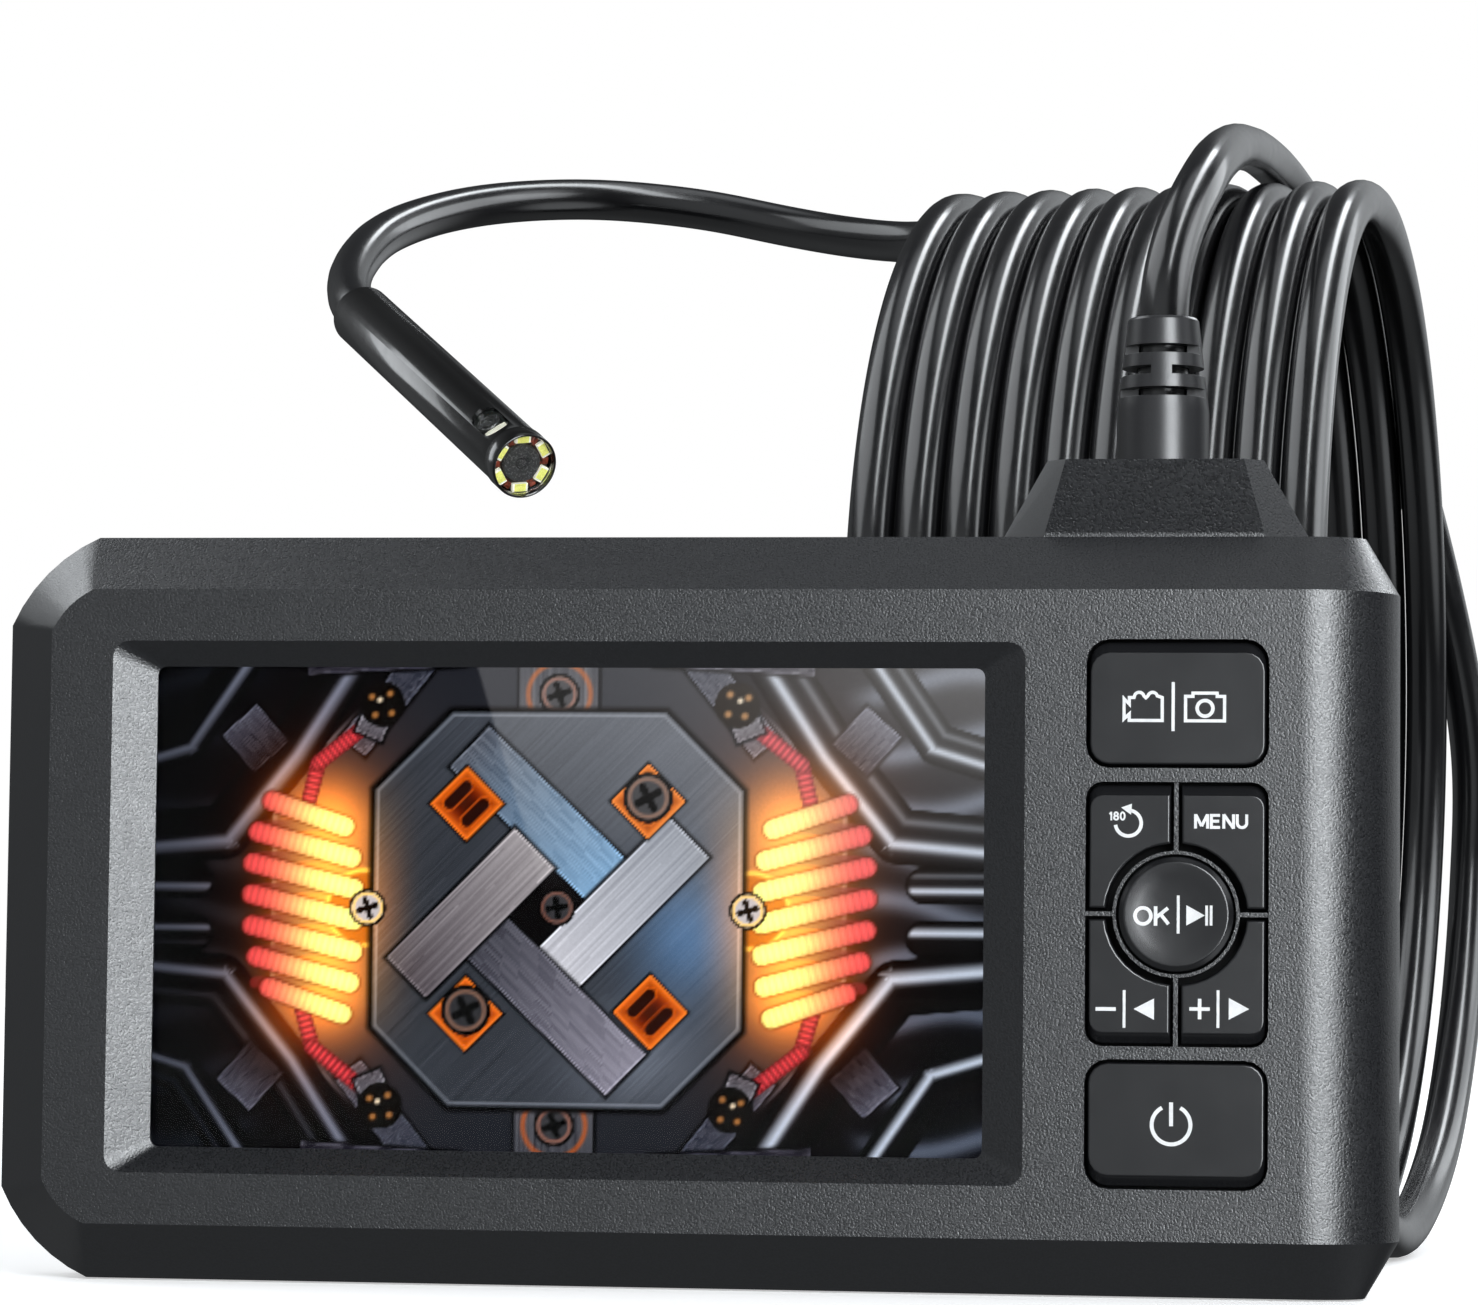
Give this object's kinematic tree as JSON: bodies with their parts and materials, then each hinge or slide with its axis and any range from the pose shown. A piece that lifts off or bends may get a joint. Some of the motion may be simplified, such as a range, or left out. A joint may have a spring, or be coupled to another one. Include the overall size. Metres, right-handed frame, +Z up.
{
  "type": "inspection camera",
  "caption": "Hand-held inspection camera: a landscape monitor with a keypad, and a slim two-lens probe on a long coiled cable.",
  "frame": {"origin": "centre of the monitor's footprint, on the plane of its bottom edge", "axes": "+X along the monitor to the viewer's right, +Y out of its back, +Z up. The display faces -Y"},
  "size_m": [0.1743, 0.1738, 0.1488],
  "materials": {
    "shell_plastic": "fine spark-eroded grain",
    "key_plastic": "smooth satin with printed white marks",
    "black_rubber": "smooth matte",
    "cable_jacket": "smooth and glossy",
    "steel": "satin",
    "black_metal": "glossy black",
    "clear_cover": "polished",
    "display_stack": "gloss",
    "circuit_board": "solder mask",
    "battery_wrap": "shrink film",
    "foam": "open foam",
    "connector_plastic": "moulded",
    "black_plastic": "moulded",
    "led_phosphor": "phosphor coat"
  },
  "bodies": {
    "monitor": {"battery_pack": "battery_wrap", "battery_pad": "foam", "board_screw_1": "steel", "board_screw_2": "steel", "button_mat": "black_rubber", "cable_clamp": "black_plastic", "cable_coil": "cable_jacket", "cable_connector": "connector_plastic", "cable_lead": "cable_jacket", "cable_tail": "cable_jacket", "case_screw_1": "steel", "case_screw_2": "steel", "case_screw_3": "steel", "case_screw_4": "steel", "case_screw_5": "steel", "case_screw_6": "steel", "case_seal": "black_rubber", "display_frame": "steel", "display_gasket": "foam", "display_panel": "display_stack", "display_window": "clear_cover", "front_led_1": "led_phosphor", "front_led_2": "led_phosphor", "front_led_3": "led_phosphor", "front_led_4": "led_phosphor", "front_led_5": "led_phosphor", "front_led_6": "led_phosphor", "front_lens": "black_plastic", "front_shell": "shell_plastic", "front_window": "clear_cover", "keypad_board": "circuit_board", "led_board": "circuit_board", "main_board": "circuit_board", "probe_barrel": "black_metal", "probe_board": "circuit_board", "probe_seal": "black_rubber", "probe_tip_cap": "black_metal", "rear_shell": "shell_plastic", "sd_card_slot": "steel", "side_led": "led_phosphor", "side_lens": "black_plastic", "side_window": "clear_cover", "strain_relief": "black_rubber", "tact_switch_1": "black_plastic", "tact_switch_2": "black_plastic", "tact_switch_3": "black_plastic", "tact_switch_4": "black_plastic", "tact_switch_5": "black_plastic", "tact_switch_6": "black_plastic", "tact_switch_7": "black_plastic", "usb_c_socket": "steel"},
    "record_key": {"record_button": "key_plastic"},
    "rotate_key": {"rotate_button": "key_plastic"},
    "menu_key": {"menu_button": "key_plastic"},
    "ok_key": {"ok_button": "key_plastic"},
    "minus_key": {"minus_button": "key_plastic"},
    "plus_key": {"plus_button": "key_plastic"},
    "power_key": {"power_button": "key_plastic"},
    "cover": {"port_cover": "black_rubber"}
  },
  "joints": [
    {"name": "record_press", "type": "slide", "parent": "monitor", "child": "record_key", "axis": [0, 1, 0], "range_m": [0, 0.0006], "stiffness_N_per_m": 600},
    {"name": "rotate_press", "type": "slide", "parent": "monitor", "child": "rotate_key", "axis": [0, 1, 0], "range_m": [0, 0.0006], "stiffness_N_per_m": 600},
    {"name": "menu_press", "type": "slide", "parent": "monitor", "child": "menu_key", "axis": [0, 1, 0], "range_m": [0, 0.0006], "stiffness_N_per_m": 600},
    {"name": "ok_press", "type": "slide", "parent": "monitor", "child": "ok_key", "axis": [0, 1, 0], "range_m": [0, 0.0006], "stiffness_N_per_m": 600},
    {"name": "minus_press", "type": "slide", "parent": "monitor", "child": "minus_key", "axis": [0, 1, 0], "range_m": [0, 0.0006], "stiffness_N_per_m": 600},
    {"name": "plus_press", "type": "slide", "parent": "monitor", "child": "plus_key", "axis": [0, 1, 0], "range_m": [0, 0.0006], "stiffness_N_per_m": 600},
    {"name": "power_press", "type": "slide", "parent": "monitor", "child": "power_key", "axis": [0, 1, 0], "range_m": [0, 0.0006], "stiffness_N_per_m": 600},
    {"name": "port_cover_hinge", "type": "hinge", "parent": "monitor", "child": "cover", "pos_m": [0.0803, 0.00715, 0.043], "axis": [0, 0, 1], "range_deg": [0, 110]}
  ]
}
